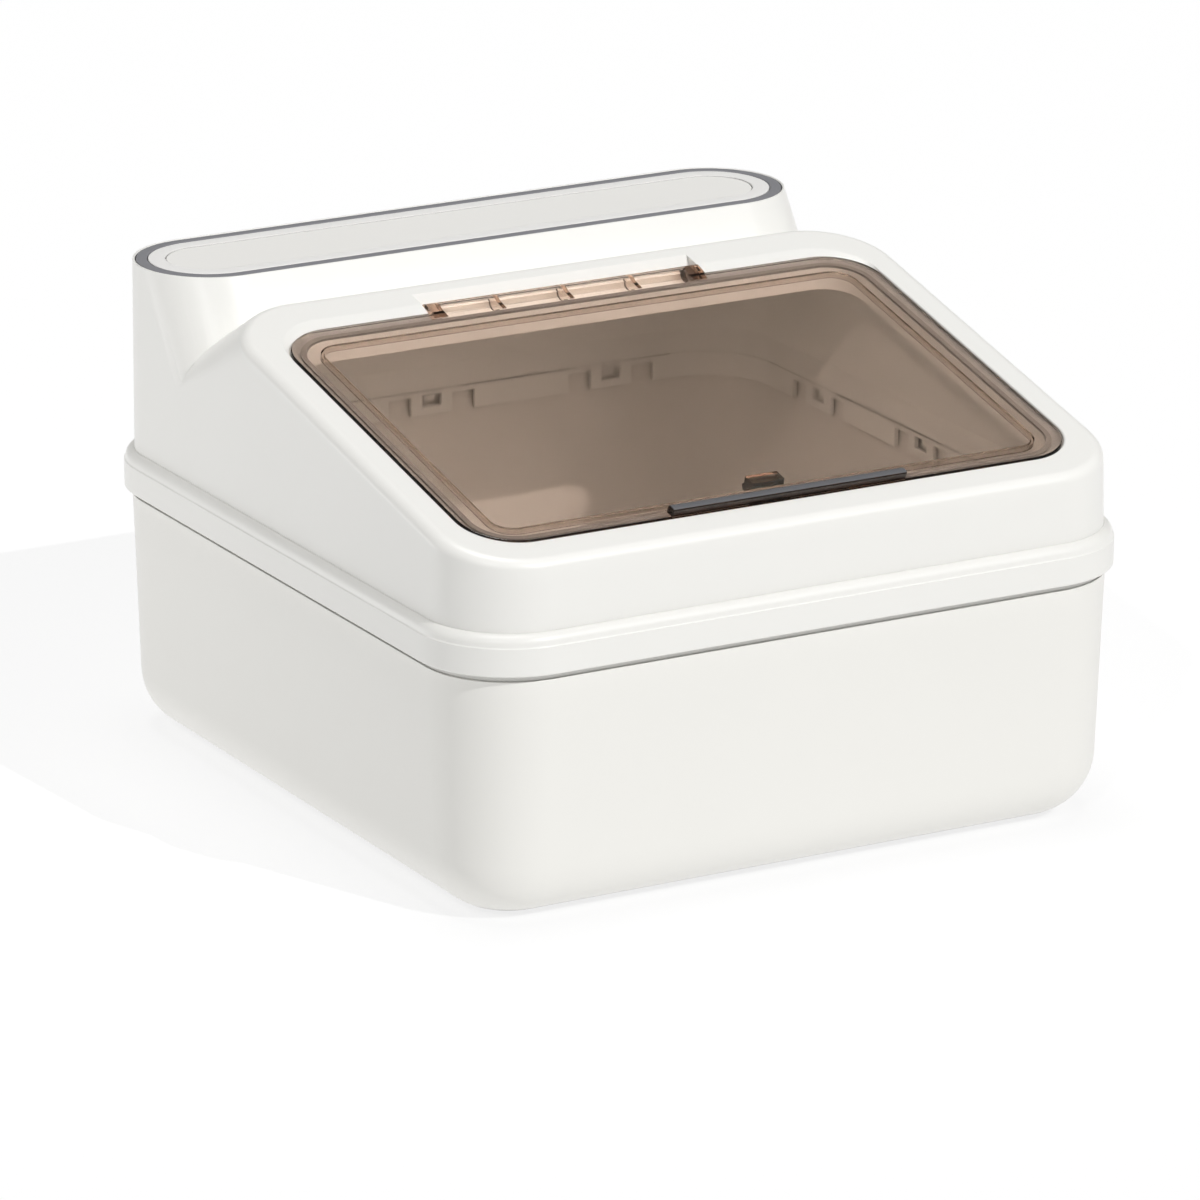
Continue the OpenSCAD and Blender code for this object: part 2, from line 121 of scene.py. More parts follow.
def white_plastic(name, colour, roughness, grain=0.05, patch=0.012, darkest_shade=0.35, shade_ends=0.55):
    """Moulded white plastic: faint flow marks, fine satin grain, rubbed edges, painted shade in narrow
    joints.
    """
    m = bpy.data.materials.new(name)
    m.use_nodes = True
    nodes, links = m.node_tree.nodes, m.node_tree.links
    shade = nodes["Principled BSDF"]
    shade.inputs["IOR"].default_value = 1.49
    shade.inputs["Specular IOR Level"].default_value = 0.45
    place = nodes.new("ShaderNodeTexCoord")

    flow = nodes.new("ShaderNodeTexNoise")
    flow.inputs["Scale"].default_value = 14
    flow.inputs["Detail"].default_value = 4
    links.new(place.outputs["Object"], flow.inputs["Vector"])
    tone = nodes.new("ShaderNodeMapRange")
    tone.inputs["To Min"].default_value = 1 - patch
    tone.inputs["To Max"].default_value = 1 + patch
    links.new(flow.outputs["Fac"], tone.inputs["Value"])

    edge = nodes.new("ShaderNodeBevel")
    edge.samples = 4
    edge.inputs["Radius"].default_value = 0.8 * MM
    face = nodes.new("ShaderNodeNewGeometry")
    turn = nodes.new("ShaderNodeVectorMath")
    turn.operation = "DOT_PRODUCT"
    links.new(edge.outputs["Normal"], turn.inputs[0])
    links.new(face.outputs["Normal"], turn.inputs[1])
    worn = nodes.new("ShaderNodeMapRange")
    worn.inputs["From Min"].default_value = 0.995
    worn.inputs["From Max"].default_value = 0.85
    links.new(turn.outputs["Value"], worn.inputs["Value"])

    paint = nodes.new("ShaderNodeMix")
    paint.data_type = "RGBA"
    paint.inputs["A"].default_value = (*colour, 1)
    paint.inputs["B"].default_value = (*[min(1.0, c * 1.03 + 0.01) for c in colour], 1)
    links.new(worn.outputs["Result"], paint.inputs["Factor"])
    # Painted shade: ambient occlusion darkens the colour in narrow joints and recesses.
    joint = nodes.new("ShaderNodeAmbientOcclusion")
    joint.samples = 6
    joint.inputs["Distance"].default_value = 5 * MM
    painted_shade = nodes.new("ShaderNodeMapRange")
    painted_shade.inputs["From Min"].default_value = 0.1
    painted_shade.inputs["From Max"].default_value = shade_ends
    painted_shade.inputs["To Min"].default_value = darkest_shade
    links.new(joint.outputs["AO"], painted_shade.inputs["Value"])
    depth = nodes.new("ShaderNodeMath")
    depth.operation = "MULTIPLY"
    links.new(tone.outputs["Result"], depth.inputs[0])
    links.new(painted_shade.outputs["Result"], depth.inputs[1])
    tint = nodes.new("ShaderNodeVectorMath")
    tint.operation = "SCALE"
    links.new(paint.outputs["Result"], tint.inputs[0])
    links.new(depth.outputs["Value"], tint.inputs["Scale"])
    links.new(tint.outputs["Vector"], shade.inputs["Base Color"])

    satin = nodes.new("ShaderNodeTexNoise")
    satin.inputs["Scale"].default_value = 420
    satin.inputs["Detail"].default_value = 5
    links.new(place.outputs["Object"], satin.inputs["Vector"])
    gloss = nodes.new("ShaderNodeMapRange")
    gloss.inputs["To Min"].default_value = roughness - 0.05
    gloss.inputs["To Max"].default_value = roughness + 0.06
    links.new(satin.outputs["Fac"], gloss.inputs["Value"])
    rubbed = nodes.new("ShaderNodeMath")
    rubbed.operation = "MULTIPLY_ADD"
    rubbed.inputs[1].default_value = -0.08
    links.new(worn.outputs["Result"], rubbed.inputs[0])
    links.new(gloss.outputs["Result"], rubbed.inputs[2])
    links.new(rubbed.outputs["Value"], shade.inputs["Roughness"])

    fine = nodes.new("ShaderNodeTexNoise")
    fine.inputs["Scale"].default_value = 2600
    fine.inputs["Detail"].default_value = 2
    links.new(place.outputs["Object"], fine.inputs["Vector"])
    skin_bump = nodes.new("ShaderNodeBump")
    skin_bump.inputs["Strength"].default_value = grain
    skin_bump.inputs["Distance"].default_value = 0.1 * MM
    links.new(fine.outputs["Fac"], skin_bump.inputs["Height"])
    links.new(skin_bump.outputs["Normal"], shade.inputs["Normal"])
    return m


lean = math.atan(BIN_DRAFT / (RIM_Z - BOTTOM_R))
tilt = -math.degrees(lean)
sloping_part = RIM_Z - BOTTOM_R + BOTTOM_R * math.sin(lean)
foot = RIM_CORNER - BOTTOM_R * math.cos(lean) - sloping_part * math.tan(lean)
shoulder = RIM_CORNER - (RIM_Z - SHOULDER_Z) * math.tan(lean)
rim_out = RIM_CORNER - RIM_BACK
rim_in = RIM_CORNER - BIN_WALL / math.cos(lean)
section = [(1.1, RECESS, RECESS_R), (1.3, RECESS - 0.1, RECESS_R)]
section += [(1.45, 0.2, RECESS_R + 0.1), (1.7, 0.0, RECESS_R + 0.3)]
section += arc(foot, BOTTOM_R, BOTTOM_R, -90, tilt, 18)
section += arc(shoulder - SHOULDER_R, SHOULDER_Z - SHOULDER_R, SHOULDER_R, 0, 90, 4)
section += [(rim_out + 0.15, SHOULDER_Z), (rim_out, SHOULDER_Z + 0.15)]
section += arc(rim_out - RIM_R, RIM_Z - RIM_R, RIM_R, 0, 90, 4)
section += arc(rim_in + RIM_R, RIM_Z - RIM_R, RIM_R, 90, 180, 4)
section += arc(foot, BOTTOM_R + BIN_FLOOR - BIN_WALL, BOTTOM_R - BIN_WALL, tilt, -90, 14)
bin_shell = skin("bin_shell", [wall_level(*point) for point in section])
smooth_moulding(bin_shell)
bin_white = white_plastic("bin_white", (0.838, 0.828, 0.79), 0.36)
# Painted shade: the inside is a darker copy of the white, and darkens its narrow joints more, as under the
# edges of the skirt.
bin_inside_shaded_white = white_plastic("bin_inside_shaded_white", (0.80, 0.782, 0.748), 0.4, darkest_shade=0.5, shade_ends=0.9)
bin_shell.data.materials.append(bin_white)
bin_shell.data.materials.append(bin_inside_shaded_white)
for face in bin_shell.data.polygons:
    looks_in = face.normal.x * face.center.x + face.normal.y * face.center.y < -MM
    looks_up = face.normal.z > 0.5 and face.center.z < INSIDE_FLOOR_BELOW * MM
    if looks_in or looks_up:
        face.material_index = INSIDE
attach(bin_shell, "bin")
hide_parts("bin")

# Lugs inside the rim. Twelve small bars that the tabs of the cover click over, moulded with the
# bin and in the same white plastic.
TAB_PITCH_X, TAB_PITCH_Y, WINDOW_Z = 84.0, 80.0, 110.5
LUG_IN, LUG_W, LUG_H, LUG_PROUD, LUG_ROOT = 5.3, 5.0, 2.8, 0.5, 0.6


def walls_round(face_x, face_y):
    """Yields a matrix for each snap place: x along the wall, y pointing out of it."""
    front_and_back = [(0, face_y, TAB_PITCH_X), (180, face_y, TAB_PITCH_X)]
    sides = [(90, face_x, TAB_PITCH_Y), (-90, face_x, TAB_PITCH_Y)]
    for turn, face, pitch in front_and_back + sides:
        for i in (-1, 0, 1):
            along = Matrix.Translation((i * pitch, face, 0))
            yield Matrix.Rotation(math.radians(turn), 4, "Z") @ along


def bars(name, places, low, high):
    """One mesh of equal bars, one at each place, from corner to corner."""
    sides = ((0, 1, 3, 2), (4, 6, 7, 5), (0, 4, 5, 1), (2, 3, 7, 6), (0, 2, 6, 4), (1, 5, 7, 3))
    bm = bmesh.new()
    for place in places:
        corners = [bm.verts.new((place @ Vector((x, y, z))) * MM)
                   for x in (low[0], high[0]) for y in (low[1], high[1]) for z in (low[2], high[2])]
        for side in sides:
            bm.faces.new([corners[k] for k in side])
    bmesh.ops.recalc_face_normals(bm, faces=bm.faces[:])
    return mesh_piece(name, bm)


def rounded(piece, width):
    """Rounds the sharp edges of a small moulding."""
    soft = piece.modifiers.new("soft_edges", "BEVEL")
    soft.width = width * MM
    soft.segments = 2
    soft.limit_method = "ANGLE"
    soft.angle_limit = math.radians(40)
    soft.harden_normals = False


lug_low = (-LUG_W / 2, -LUG_PROUD, WINDOW_Z - LUG_H / 2)
lug_high = (LUG_W / 2, LUG_ROOT, WINDOW_Z + LUG_H / 2)
lugs = bars("bin_lugs", walls_round(BAND_X - LUG_IN, BAND_Y - LUG_IN), lug_low, lug_high)
rounded(lugs, 0.25)
smooth_moulding(lugs)
lugs.data.materials.append(bin_white)
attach(lugs, "bin")

# Cover. One white moulding: the sloping wedge, the column behind it, and the frame of the
# opening with its ledge, lip and hinge pocket, all 2.4 mm thick and hollow from below.
# Places on the sloping face are given as x across, v up the slope and n off the face.
COVER_X, COVER_Y, COVER_CORNER, COVER_WALL = 145.8, 153.55, 33.8, 2.4
BAND_TOP, FALL_Z, HEIGHT = 117.0, 134.0, 194.0
SHELL_FOOT = BAND_TOP - 0.5
SIDE_DRAFT, BACK_DRAFT = 0.45, 0.2
SLOPE = math.radians(12.7)
SLOPE_START = Vector((0, -153.1, 143.3))
UP_SLOPE = Vector((0, math.cos(SLOPE), math.sin(SLOPE)))
OFF_SLOPE = Vector((0, -math.sin(SLOPE), math.cos(SLOPE)))
SLOPE_LEN, SLOPE_CORNER, EDGE_R = 218.5, 33.0, 5.0
LID_X, LID_FRONT, LID_BACK, LID_CORNER, LID_T, LID_GAP = 131.5, 17.0, 193.0, 22.0, 2.2, 0.5
LEDGE_IN, LEDGE_N, LIP_N, LIP_WALL, FRAME_OUT, FRAME_N = 6.6, -3.4, -13.0, 2.2, 3.2, -1.1
REBATE_R = 0.9
RAMP_LEN, RAMP_DROP, RAMP_STEPS, RAMP_CURVE = 7.3, 1.3, 8, 0.62
POCKET_X, POCKET_V0, POCKET_V1, POCKET_N = 62.0, 189.4, 203.0, -8.6
POCKET_SLANT, POCKET_SLANT_N = 6.6, -4.6
POCKET_WALL, POCKET_FRONT_WALL, POCKET_BACK_WALL, POCKET_SIDE_WALL = 2.2, 2.9, 9.5, 6.0
AXIS_V, AXIS_N, PIN_R, PIN_PLAY, BORE_END = 197.4, -3.1, 1.8, 0.05, 4.5
COLUMN_R, COLUMN_X, COLUMN_Y = 30.8, 114.1, 121.85
COLUMN_LEAN, COLUMN_EDGE = math.tan(math.radians(34)), 0.35
SEAT_Z, MOUTH_R = 188.0, 29.8


def on_slope(x, v, n):
    """A point in the frame of the sloping face: x across, v up the slope, n off the face."""
    return SLOPE_START + Vector((x, 0, 0)) + UP_SLOPE * v + OFF_SLOPE * n


def lid_level(inset, n):
    """A level in the sloping face, at a distance inside the edge of the lid."""
    half_v, mid_v = (LID_BACK - LID_FRONT) / 2, (LID_BACK + LID_FRONT) / 2
    r = max(LID_CORNER - inset, TIGHTEST_CORNER)
    return [on_slope(p.x, mid_v + p.y, n) for p in level(LID_X - inset, half_v - inset, r, 0, 16)]


def stretched_skin(name, points):
    """The tight skin round a cloud of points."""
    bm = bmesh.new()
    for p in points:
        bm.verts.new(p * MM)
    found = bmesh.ops.convex_hull(bm, input=bm.verts[:])
    left_over = found["geom_interior"] + found["geom_unused"]
    spare = {v for v in left_over if isinstance(v, bmesh.types.BMVert)}
    bmesh.ops.delete(bm, geom=list(spare), context="VERTS")
    flat = math.radians(0.05)
    bmesh.ops.dissolve_limit(bm, angle_limit=flat, verts=bm.verts[:], edges=bm.edges[:])
    bmesh.ops.recalc_face_normals(bm, faces=bm.faces[:])
    return mesh_piece(name, bm)


def carve(piece, other, how="DIFFERENCE"):
    """Cuts other out of the piece, or joins it to the piece, and removes it."""
    cut = piece.modifiers.new("cut", "BOOLEAN")
    cut.operation = how
    cut.solver = "EXACT"
    cut.object = other
    made = bpy.data.meshes.new_from_object(piece.evaluated_get(bpy.context.evaluated_depsgraph_get()))
    piece.modifiers.clear()
    piece.data = made
    bpy.data.objects.remove(other)


def bar_across(name, x0, x1, outline):
    """A bar along X whose section is given in slope coordinates (v, n)."""
    return skin(name, [[on_slope(x, v, n) for v, n in outline] for x in (x0, x1)])


def hinge_rod(name, side, start, end, r):
    """A rod on the axis of the hinge, from start to end on the side given."""
    x0, x1 = sorted((side * start, side * end))
    return bar_across(name, x0, x1, arc(AXIS_V, AXIS_N, r, 0, 360, 40)[:-1])


def wedge(name, inset):
    """The wedge under the sloping face, with its fall behind the ridge."""
    side_x, far_v, edge_r = COVER_X - SIDE_DRAFT, SLOPE_LEN - SLOPE_CORNER, EDGE_R - inset
    corners = [(1, far_v), (-1, far_v), (-1, SLOPE_CORNER), (1, SLOPE_CORNER)]
    points = []
    for quarter, (sx, v) in enumerate(corners):
        for i in range(25):
            a = math.radians(90 * (quarter + i / 24))
            for k in range(-6, 13):
                b = math.radians(k * 7.5)
                reach = SLOPE_CORNER - EDGE_R + edge_r * math.cos(b)
                x = sx * (side_x - SLOPE_CORNER) + reach * math.cos(a)
                points.append(on_slope(x, v + reach * math.sin(a), -EDGE_R + edge_r * math.sin(b)))
    corner = COVER_CORNER - inset
    points += level(COVER_X - inset, COVER_Y - inset, corner, SHELL_FOOT, 24)
    points += level(side_x - inset, COVER_Y - BACK_DRAFT - inset, corner, FALL_Z - inset, 24)
    return stretched_skin(name, points)


def column(name, inset, top, edge=0.0):
    """The column: a stadium on top, whose front leans forward as it goes down."""
    r, corner = COLUMN_R - inset, COVER_CORNER - inset
    crown = [(r, top - edge), (r - edge * 0.3, top - edge * 0.3), (r - edge, top)]
    front_y = COLUMN_Y - (HEIGHT - BAND_TOP) * COLUMN_LEAN
    points = []
    for sx in (-1, 1):
        front = Vector((sx * (COVER_X - COLUMN_R), front_y, SHELL_FOOT))
        back = Vector((sx * (COVER_X - COVER_CORNER), COVER_Y - COVER_CORNER, SHELL_FOOT))
        for i in range(96):
            a = 2 * math.pi * i / 96
            turn = Vector((math.cos(a), math.sin(a), 0))
            points += [Vector((sx * COLUMN_X, COLUMN_Y, z)) + turn * reach for reach, z in crown]
            points.append(front + turn * r)
            points.append(back + turn * corner)
    return stretched_skin(name, points)


def stadium_level(r, z):
    """A level of the column's mouth and of what sits in it."""
    return [p + Vector((0, COLUMN_Y, 0)) for p in level(COLUMN_X + r, r, r, z, 32)]


cover = wedge("cover_shell", 0)
carve(cover, column("column_outside", 0, HEIGHT, COLUMN_EDGE), "UNION")
carve(cover, wedge("wedge_inside", COVER_WALL))
carve(cover, column("column_inside", COVER_WALL, HEIGHT + 1))

lip_out = LEDGE_IN - LIP_WALL
ledge_under = LEDGE_N - COVER_WALL
frame_levels = [(lip_out, LIP_N), (lip_out, ledge_under), (-FRAME_OUT, ledge_under), (-FRAME_OUT, FRAME_N)]
carve(cover, skin("opening_frame", [lid_level(inset, n) for inset, n in frame_levels]), "UNION")
block_front, block_back = POCKET_V0 - POCKET_FRONT_WALL, POCKET_V1 + POCKET_BACK_WALL
block_under = POCKET_N - POCKET_WALL
block = [(block_front, block_under), (POCKET_V1 + POCKET_WALL, block_under)]
block += [(block_back, -4), (block_back, -1), (block_front, -1)]
block_x = POCKET_X + POCKET_SIDE_WALL
carve(cover, bar_across("pocket_block", -block_x, block_x, block), "UNION")

rebate = [(LEDGE_IN, LIP_N - 2), (LEDGE_IN, LEDGE_N), (-LID_GAP, LEDGE_N)]
rebate += [(-LID_GAP - REBATE_R + x, n) for x, n in arc(0, -REBATE_R, REBATE_R, 0, 84, 7)]
rebate += [(-LID_GAP - REBATE_R - 0.4, 2.0)]
carve(cover, skin("rebate", [lid_level(inset, n) for inset, n in rebate]))
ramp = []
for i in range(RAMP_STEPS + 1):
    share = i / RAMP_STEPS
    back, n = RAMP_LEN * share, -RAMP_DROP * (1 - share ** RAMP_CURVE)
    half_v = (LID_BACK - LID_FRONT) / 2 + LID_GAP + back / 2
    mid_v = (LID_BACK + LID_FRONT) / 2 + back / 2
    flat = level(LID_X + LID_GAP + 0.02 * share, half_v, LID_CORNER + LID_GAP + 2 * share, 0, 16)
    ramp.append([on_slope(p.x, mid_v + p.y, n) for p in flat])
ramp.append([p + OFF_SLOPE * 0.6 for p in ramp[-1]])
carve(cover, skin("ramp", ramp))
pocket = [(POCKET_V0, POCKET_N), (POCKET_V1, POCKET_N), (POCKET_V1, POCKET_SLANT_N)]
pocket += [(POCKET_V1 + POCKET_SLANT, 1), (POCKET_V0, 1)]
carve(cover, bar_across("pocket", -POCKET_X, POCKET_X, pocket))
for side in (-1, 1):
    carve(cover, hinge_rod("pin_bore", side, POCKET_X - 1, POCKET_X + BORE_END, PIN_R + PIN_PLAY))
mouth = [(MOUTH_R, SEAT_Z), (MOUTH_R, HEIGHT - 0.3), (MOUTH_R + 0.3, HEIGHT), (MOUTH_R + 0.5, HEIGHT + 2)]
carve(cover, skin("column_mouth", [stadium_level(r, z) for r, z in mouth]))
smooth_moulding(cover, 24)
COVER_COLOUR = (0.845, 0.838, 0.806)
cover_white = white_plastic("cover_white", COVER_COLOUR, 0.34)
cover.data.materials.append(cover_white)
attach(cover, "cover")
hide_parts("cover")

# Band of the cover. It laps over the rim of the bin, and inside it a shelf presses on the rim
# seal. It is moulded with the shell, in the same white plastic, with a fine step under its round
# top, and its inside runs up to the shell in a gentle slope.
BAND_Z, BAND_WALL, SHELF_Z, SHELF_REACH = 101.0, 2.1, 114.6, 30.0
BAND_FOOT_R, BAND_TOP_R, BAND_STEP = 0.8, 4.0, 0.6
band_in = BAND_CORNER - BAND_WALL
section = [(SHELF_REACH + 1.7, BAND_TOP + 10), (SHELF_REACH + 0.3, BAND_TOP + 2), (SHELF_REACH, BAND_TOP)]
section += [(SHELF_REACH, SHELF_Z), (band_in, SHELF_Z), (band_in, BAND_Z + 0.4), (band_in + 0.3, BAND_Z)]
section += arc(BAND_CORNER - BAND_FOOT_R, BAND_Z + BAND_FOOT_R, BAND_FOOT_R, -90, 0, 5)
for step, drop in ((0, 5.1), (0.1, 4.85), (0.3, 4.7), (0.45, 4.5), (0.5, 4.2)):
    section.append((BAND_CORNER - step, BAND_TOP - drop))
section += arc(BAND_CORNER - BAND_STEP - BAND_TOP_R, BAND_TOP - BAND_TOP_R, BAND_TOP_R, 4, 90, 12)
band = skin("cover_band", [wall_level(*point) for point in section], ring=True)
smooth_moulding(band)
band.data.materials.append(cover_white)
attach(band, "cover")

# Skirt inside the band. A thin wall moulded with the cover and cut into twelve tabs with a window
# each, and the plain lengths between them. The windows click over the lugs of the bin.
SKIRT_OUT, SKIRT_WALL, SKIRT_Z, SKIRT_EDGE = 6.2, 1.8, 104.5, 0.3
TAB_W, TAB_GAP, TAB_UP, WINDOW_W, WINDOW_H, CUT_THROUGH = 19.0, 10.5, 8.0, 9.0, 5.0, 4.0
skirt_out = BAND_CORNER - SKIRT_OUT
skirt_in = skirt_out - SKIRT_WALL
skirt_top = SHELF_Z + 0.5
section = [(skirt_out, skirt_top), (skirt_in, skirt_top), (skirt_in, SKIRT_Z + SKIRT_EDGE)]
section += [(skirt_in + SKIRT_EDGE, SKIRT_Z), (skirt_out - SKIRT_EDGE, SKIRT_Z)]
section += [(skirt_out, SKIRT_Z + SKIRT_EDGE)]
skirt = skin("cover_skirt", [wall_level(*point) for point in section], ring=True)
skirt_mid = SKIRT_OUT + SKIRT_WALL / 2
places = list(walls_round(BAND_X - skirt_mid, BAND_Y - skirt_mid))
for side in (-1, 1):
    middle = side * (TAB_W + TAB_GAP) / 2
    gap_low = (middle - TAB_GAP / 2, -CUT_THROUGH, SKIRT_Z - 1)
    gap_high = (middle + TAB_GAP / 2, CUT_THROUGH, SKIRT_Z + TAB_UP)
    carve(skirt, bars("tab_gaps", places, gap_low, gap_high))
window_low = (-WINDOW_W / 2, -CUT_THROUGH, WINDOW_Z - WINDOW_H / 2)
window_high = (WINDOW_W / 2, CUT_THROUGH, WINDOW_Z + WINDOW_H / 2)
carve(skirt, bars("tab_windows", places, window_low, window_high))
smooth_moulding(skirt)
# The skirt's white paints less shade into its narrow gaps.
skirt.data.materials.append(white_plastic("skirt_white", COVER_COLOUR, 0.34, darkest_shade=0.8))
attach(skirt, "cover")

# Seals. Soft silicone rings: a pale one under the shelf on the rim of the bin, and a smoky grey
# one on the ledge under the flip lid. Both are pressed into place, and show only through the lid
# or with it open.


def silicone(name, colour, roughness=0.62):
    """Soft silicone: matt, faintly cloudy, with a dusty bloom."""
    m = bpy.data.materials.new(name)
    m.use_nodes = True
    nodes, links = m.node_tree.nodes, m.node_tree.links
    shade = nodes["Principled BSDF"]
    shade.inputs["IOR"].default_value = 1.41
    shade.inputs["Sheen Weight"].default_value = 0.15
    place = nodes.new("ShaderNodeTexCoord")
    cloud = nodes.new("ShaderNodeTexNoise")
    cloud.inputs["Scale"].default_value = 60
    cloud.inputs["Detail"].default_value = 5
    links.new(place.outputs["Object"], cloud.inputs["Vector"])
    paint = nodes.new("ShaderNodeMix")
    paint.data_type = "RGBA"
    paint.inputs["A"].default_value = (*[c * 0.94 for c in colour], 1)
    paint.inputs["B"].default_value = (*[min(1.0, c * 1.06) for c in colour], 1)
    links.new(cloud.outputs["Fac"], paint.inputs["Factor"])
    links.new(paint.outputs["Result"], shade.inputs["Base Color"])
    matt = nodes.new("ShaderNodeMapRange")
    matt.inputs["To Min"].default_value = roughness - 0.08
    matt.inputs["To Max"].default_value = roughness + 0.08
    links.new(cloud.outputs["Fac"], matt.inputs["Value"])
    links.new(matt.outputs["Result"], shade.inputs["Roughness"])
    bloom = nodes.new("ShaderNodeTexNoise")
    bloom.inputs["Scale"].default_value = 1800
    links.new(place.outputs["Object"], bloom.inputs["Vector"])
    bump = nodes.new("ShaderNodeBump")
    bump.inputs["Strength"].default_value = 0.08
    bump.inputs["Distance"].default_value = 0.1 * MM
    links.new(bloom.outputs["Fac"], bump.inputs["Height"])
    links.new(bump.outputs["Normal"], shade.inputs["Normal"])
    return m


def refinish(node, material):
    """Gives a part whose shape stays as it is its finish."""
    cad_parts[node].data.materials.clear()
    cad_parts[node].data.materials.append(material)


refinish("rim_seal", silicone("clear_silicone", (0.74, 0.735, 0.71)))
refinish("lid_seal", silicone("smoke_silicone", (0.2, 0.19, 0.18)))

# Flip lid. One clear moulding tinted brown: the plate with a rib under it, a finger lip in
# front, a small clip, and at the back the knuckle tab with its ribs, ears and stub pins. The
# finger lip is tinted dark as painted shade and the clip bluish as a painted reflection, and
# the top of the finger lip is grained.
RIB_X, RIB_V0, RIB_V1, RIB_CORNER, RIB_WALL, RIB_N, RIB_EDGE = 119.8, 27.3, 180.8, 9.8, 1.5, -4.6, 0.3
KNUCKLE_X, KNUCKLE_R, KNUCKLE_WALL, EAR_W = 61.4, 3.9, 1.6, 6.0
WEB_X, WEB_W, PIN_END = 30.5, 1.8, 4.2
FINGER_X, FINGER_H = 51.0, 3.8
CLIP_X, CLIP_START, CLIP_END, CLIP_N = 7.0, 16.0, 23.5, -8.2


def rib_level(inset, n):
    """A level of the rib under the lid, inside its outer face."""
    flat = level(RIB_X - inset, (RIB_V1 - RIB_V0) / 2 - inset, RIB_CORNER - inset, 0, 16)
    return [on_slope(p.x, (RIB_V1 + RIB_V0) / 2 + p.y, n) for p in flat]


def knuckle_section(solid):
    """Half round over the pin, open below; closed down to the full round where it is solid."""
    section = [(LID_BACK - 4, -LID_T), (LID_BACK - 4, -0.3), (LID_BACK - 3.6, -0.05)]
    section += arc(AXIS_V, AXIS_N, KNUCKLE_R, 96, 0, 28)
    if solid:
        section += arc(AXIS_V, AXIS_N, KNUCKLE_R, 0, -150, 28)[1:]
        section += [(LID_BACK - 3, -LID_T - 0.8), (LID_BACK - 3.6, -LID_T)]
    else:
        section += arc(AXIS_V, AXIS_N, KNUCKLE_R - KNUCKLE_WALL, 0, 150, 28)
    return section


plate_levels = [(0.5, -LID_T), (0.15, -LID_T + 0.15), (0, -LID_T + 0.5)]
plate_levels += [(REBATE_R - x, n) for x, n in arc(0, -REBATE_R, REBATE_R, 0, 90, 6)]
lid = skin("flip_lid_moulding", [lid_level(inset, n) for inset, n in plate_levels])
rib_top = -LID_T + 0.4
rib_levels = [(0, rib_top), (0, RIB_N + RIB_EDGE), (RIB_EDGE, RIB_N), (RIB_WALL - RIB_EDGE, RIB_N)]
rib_levels += [(RIB_WALL, RIB_N + RIB_EDGE), (RIB_WALL, rib_top)]
carve(lid, skin("lid_rib", [rib_level(inset, n) for inset, n in rib_levels], ring=True), "UNION")
chamfer = [(LID_BACK - 1.4, -LID_T - 1), (LID_BACK + 1, -LID_T - 1)]
chamfer += [(LID_BACK + 1, -1.1), (LID_BACK - 1.4, -1.1)]
carve(lid, bar_across("edge_chamfer", -LID_X - 1, LID_X + 1, chamfer))
carve(lid, bar_across("knuckle_tab", -KNUCKLE_X, KNUCKLE_X, knuckle_section(False)), "UNION")
ear_x = KNUCKLE_X - EAR_W / 2
for x, width in ((-ear_x, EAR_W), (ear_x, EAR_W), (-WEB_X, WEB_W), (0, WEB_W), (WEB_X, WEB_W)):
    carve(lid, bar_across("knuckle", x - width / 2, x + width / 2, knuckle_section(True)), "UNION")
for side in (-1, 1):
    carve(lid, hinge_rod("stub_pin", side, KNUCKLE_X - 1, KNUCKLE_X + PIN_END, PIN_R), "UNION")
finger_lip = [(0.6, -1), (-0.6, 2.9), (-0.3, 3.5), (0.2, FINGER_H)]
finger_lip += [(2.6, FINGER_H), (3.4, 3.4), (4.2, 2.4), (5, -1)]
finger_outline = [(LID_FRONT + v, n) for v, n in finger_lip]
carve(lid, bar_across("finger_lip", -FINGER_X, FINGER_X, finger_outline), "UNION")
clip_root = -LID_T + 0.5
under_clip = [(CLIP_START, clip_root), (CLIP_START, CLIP_N + 0.8), (CLIP_START + 1, CLIP_N)]
under_clip += [(CLIP_END - 1, CLIP_N), (CLIP_END, CLIP_N + 2)]
under_clip += [(CLIP_END - 1.5, -5), (CLIP_END - 1.5, clip_root)]
clip_outline = [(LID_FRONT + v, n) for v, n in under_clip]
carve(lid, bar_across("under_clip", -CLIP_X, CLIP_X, clip_outline), "UNION")
smooth_moulding(lid, 28)


